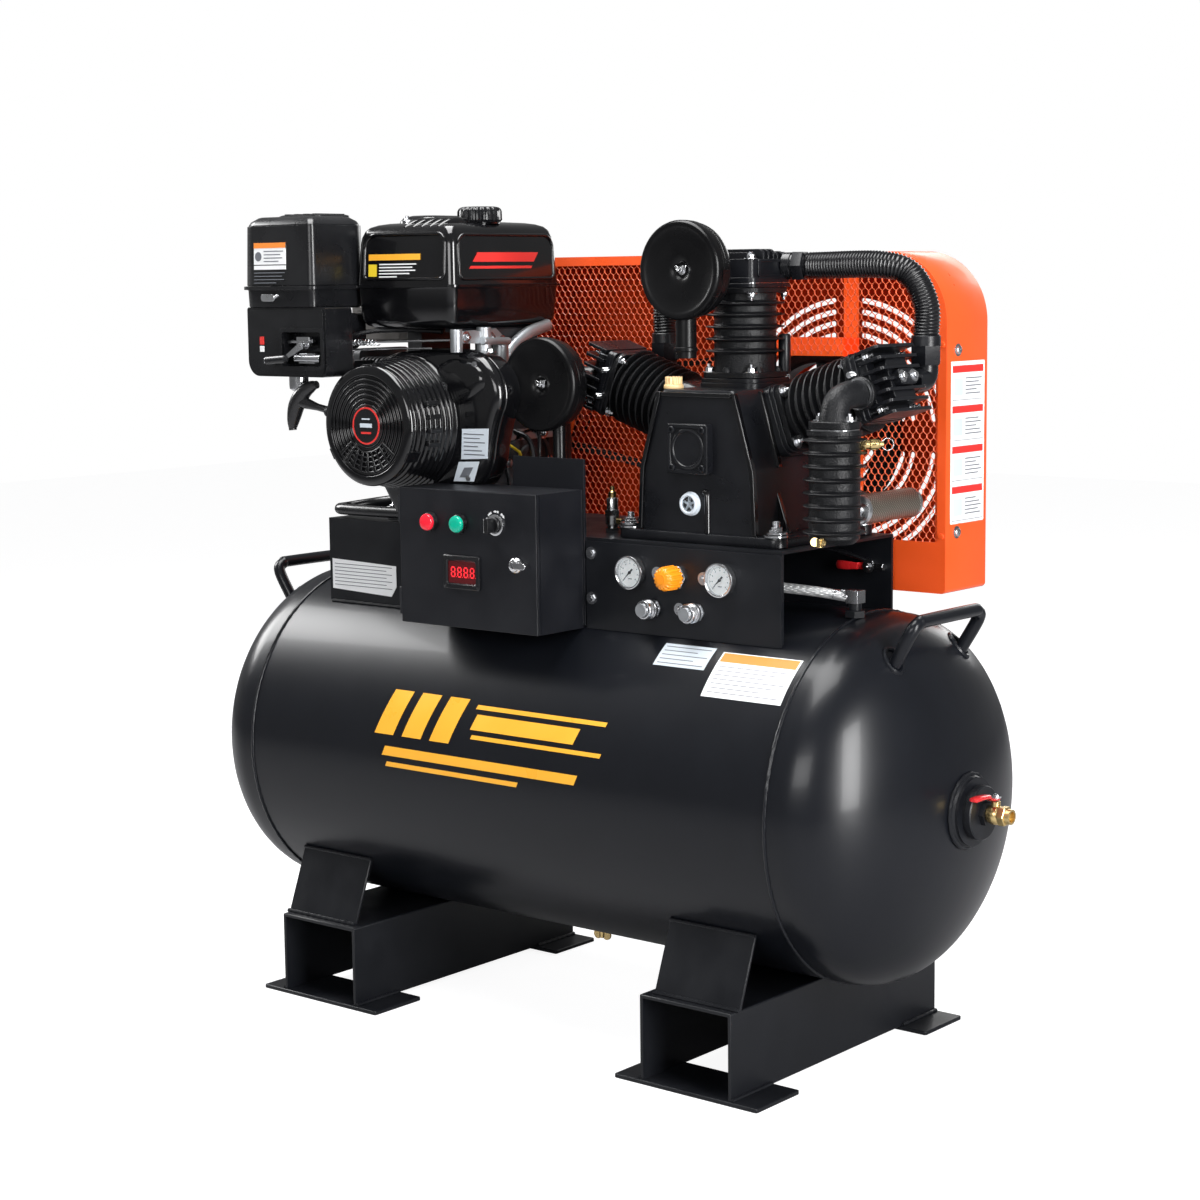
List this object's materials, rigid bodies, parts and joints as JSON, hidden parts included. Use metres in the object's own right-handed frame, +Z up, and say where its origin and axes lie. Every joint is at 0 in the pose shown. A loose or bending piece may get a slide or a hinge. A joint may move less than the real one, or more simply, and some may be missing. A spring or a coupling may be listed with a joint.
{
  "type": "engine driven air compressor",
  "caption": "Petrol engine and belt-driven W-type two-stage air pump on a horizontal tank with gauge panel and control box.",
  "frame": {"origin": "centre of the bounding box in plan, on the floor", "axes": "+X along the tank to its valve end, +Y to the belt guard, +Z up; the control side faces -Y"},
  "size_m": [1.3586, 0.5382, 1.2163],
  "materials": {
    "tank_paint": "satin gloss blue-black enamel",
    "frame_paint": "satin black powder coat",
    "box_paint": "satin black powder coat, fine texture",
    "pump_casting": "black painted rough casting",
    "engine_paint": "high gloss black enamel",
    "guard_paint": "satin orange-red powder coat",
    "belt_rubber": "matt black rubber",
    "hose_rubber": "semi-gloss black corrugated sleeve",
    "black_plastic": "semi-gloss moulded black",
    "bright_steel": "zinc plated, satin",
    "chrome": "polished",
    "brass": "machined, lightly dulled",
    "orange_plastic": "moulded orange",
    "red_grip": "vinyl dipped red",
    "red_lens": "moulded red",
    "green_lens": "moulded green",
    "sight_lens": "clear with white rim",
    "needle_black": "matt black"
  },
  "bodies": {
    "root": {"tank_shell": "tank_paint", "tank_end_left": "tank_paint", "tank_end_right": "tank_paint", "saddle_left": "frame_paint", "saddle_right": "frame_paint", "deck": "frame_paint", "gauge_panel": "frame_paint", "control_box": "box_paint", "crankcase": "pump_casting", "bearing_cover": "pump_casting", "cylinder_left": "pump_casting", "cylinder_centre": "pump_casting", "cylinder_right": "pump_casting", "head_left": "pump_casting", "head_centre": "pump_casting", "head_right": "pump_casting", "aftercooler": "pump_casting", "engine_block": "engine_paint", "recoil_housing": "engine_paint", "fuel_tank": "engine_paint", "belt_guard_shell": "guard_paint", "belt_guard_grille": "guard_paint", "drive_belt": "belt_rubber", "intercooler_hose_left": "hose_rubber", "intercooler_hose_right": "hose_rubber", "intake_filter_top": "black_plastic", "intake_filter_low": "black_plastic", "air_cleaner": "black_plastic", "air_manifold": "bright_steel", "pressure_gauge_left": "bright_steel", "pressure_gauge_right": "bright_steel", "blowdown_silencer": "bright_steel", "tank_feed_hose": "bright_steel", "pilot_valve": "chrome", "relief_valve": "brass", "end_valve": "brass", "oil_sight_glass": "sight_lens"},
    "door": {"control_box_door": "box_paint"},
    "stop_button": {"stop_button": "red_lens"},
    "start_button": {"start_button": "green_lens"},
    "key_switch": {"key_switch": "black_plastic"},
    "door_lock": {"door_lock": "chrome"},
    "needle_left": {"gauge_needle_left": "needle_black"},
    "needle_right": {"gauge_needle_right": "needle_black"},
    "regulator_knob": {"regulator_knob": "orange_plastic"},
    "sleeve_left": {"coupler_sleeve_left": "bright_steel"},
    "sleeve_right": {"coupler_sleeve_right": "bright_steel"},
    "oil_plug": {"oil_plug": "orange_plastic"},
    "pump_rotor": {"pump_crankshaft": "bright_steel", "flywheel": "pump_casting"},
    "piston_left": {"piston_left": "bright_steel"},
    "piston_centre": {"piston_centre": "bright_steel"},
    "piston_right": {"piston_right": "bright_steel"},
    "engine_rotor": {"engine_drive_shaft": "bright_steel"},
    "starter_grip": {"starter_grip": "black_plastic"},
    "fuel_cap": {"fuel_cap": "black_plastic"},
    "throttle_lever": {"throttle_lever": "bright_steel"},
    "end_valve_lever": {"end_valve_lever": "red_grip"},
    "shutoff_lever": {"shutoff_lever": "red_grip"},
    "tank_drain": {"tank_drain": "brass"}
  },
  "joints": [
    {"name": "door_hinge", "type": "hinge", "parent": "root", "child": "door", "pos_m": [-0.21225, -0.23285, 0.708], "axis": [0, 0, -1], "range_deg": [0, 110]},
    {"name": "stop_button_press", "type": "slide", "parent": "door", "child": "stop_button", "axis": [0, 1, 0], "range_m": [0, 0.003]},
    {"name": "start_button_press", "type": "slide", "parent": "door", "child": "start_button", "axis": [0, 1, 0], "range_m": [0, 0.003]},
    {"name": "key_turn", "type": "hinge", "parent": "door", "child": "key_switch", "pos_m": [-0.02075, -0.23435, 0.762], "axis": [0, 1, 0], "range_deg": [0, 90]},
    {"name": "lock_turn", "type": "hinge", "parent": "door", "child": "door_lock", "pos_m": [0.01925, -0.23435, 0.707], "axis": [0, 1, 0], "range_deg": [0, 90]},
    {"name": "needle_left_swing", "type": "hinge", "parent": "root", "child": "needle_left", "pos_m": [0.14725, -0.13885, 0.696], "axis": [0, 1, 0], "range_deg": [0, 270]},
    {"name": "needle_right_swing", "type": "hinge", "parent": "root", "child": "needle_right", "pos_m": [0.30525, -0.13885, 0.696], "axis": [0, 1, 0], "range_deg": [0, 270]},
    {"name": "regulator_turn", "type": "hinge", "parent": "root", "child": "regulator_knob", "pos_m": [0.22425, -0.15285, 0.694], "axis": [0, 1, 0], "range_deg": [0, 720]},
    {"name": "sleeve_left_pull", "type": "slide", "parent": "root", "child": "sleeve_left", "axis": [0, 1, 0], "range_m": [0, 0.006]},
    {"name": "sleeve_right_pull", "type": "slide", "parent": "root", "child": "sleeve_right", "axis": [0, 1, 0], "range_m": [0, 0.006]},
    {"name": "oil_plug_unscrew", "type": "hinge", "parent": "root", "child": "oil_plug", "pos_m": [0.18725, -0.08785, 0.9533], "axis": [0, 0, 1], "range_deg": [0, 720]},
    {"name": "pump_crank", "type": "hinge", "parent": "root", "child": "pump_rotor", "pos_m": [0.24225, 0.00715, 0.88], "axis": [0, 1, 0], "continuous": true},
    {"name": "piston_left_stroke", "type": "slide", "parent": "root", "child": "piston_left", "axis": [-0.9455, 0, 0.3256], "range_m": [-0.025, 0.025]},
    {"name": "piston_centre_stroke", "type": "slide", "parent": "root", "child": "piston_centre", "axis": [0, 0, 1], "range_m": [-0.025, 0.025]},
    {"name": "piston_right_stroke", "type": "slide", "parent": "root", "child": "piston_right", "axis": [0.9455, 0, 0.3256], "range_m": [-0.025, 0.025]},
    {"name": "engine_crank", "type": "hinge", "parent": "root", "child": "engine_rotor", "pos_m": [-0.26675, 0.00715, 0.896], "axis": [0, 1, 0], "continuous": true},
    {"name": "starter_pull", "type": "slide", "parent": "root", "child": "starter_grip", "axis": [-1, 0, 0], "range_m": [0, 0.6]},
    {"name": "fuel_cap_turn", "type": "hinge", "parent": "root", "child": "fuel_cap", "pos_m": [-0.20475, -0.05485, 1.193], "axis": [0, 0, 1], "range_deg": [0, 90]},
    {"name": "throttle_swing", "type": "hinge", "parent": "root", "child": "throttle_lever", "pos_m": [-0.38275, -0.25685, 1.014], "axis": [0, 1, 0], "range_deg": [0, 40]},
    {"name": "end_valve_turn", "type": "hinge", "parent": "root", "child": "end_valve_lever", "pos_m": [0.65425, 0.00715, 0.408], "axis": [0, 0, 1], "range_deg": [0, 90]},
    {"name": "shutoff_turn", "type": "hinge", "parent": "root", "child": "shutoff_lever", "pos_m": [0.36625, 0.13715, 0.692], "axis": [0, -1, 0], "range_deg": [0, 90]},
    {"name": "drain_turn", "type": "hinge", "parent": "root", "child": "tank_drain", "pos_m": [-0.03275, 0.00715, 0.128], "axis": [0, 0, 1], "range_deg": [0, 90]}
  ],
  "couplings": [
    {"joint": "engine_crank", "follows": "pump_crank", "ratio": 2.6667}
  ]
}
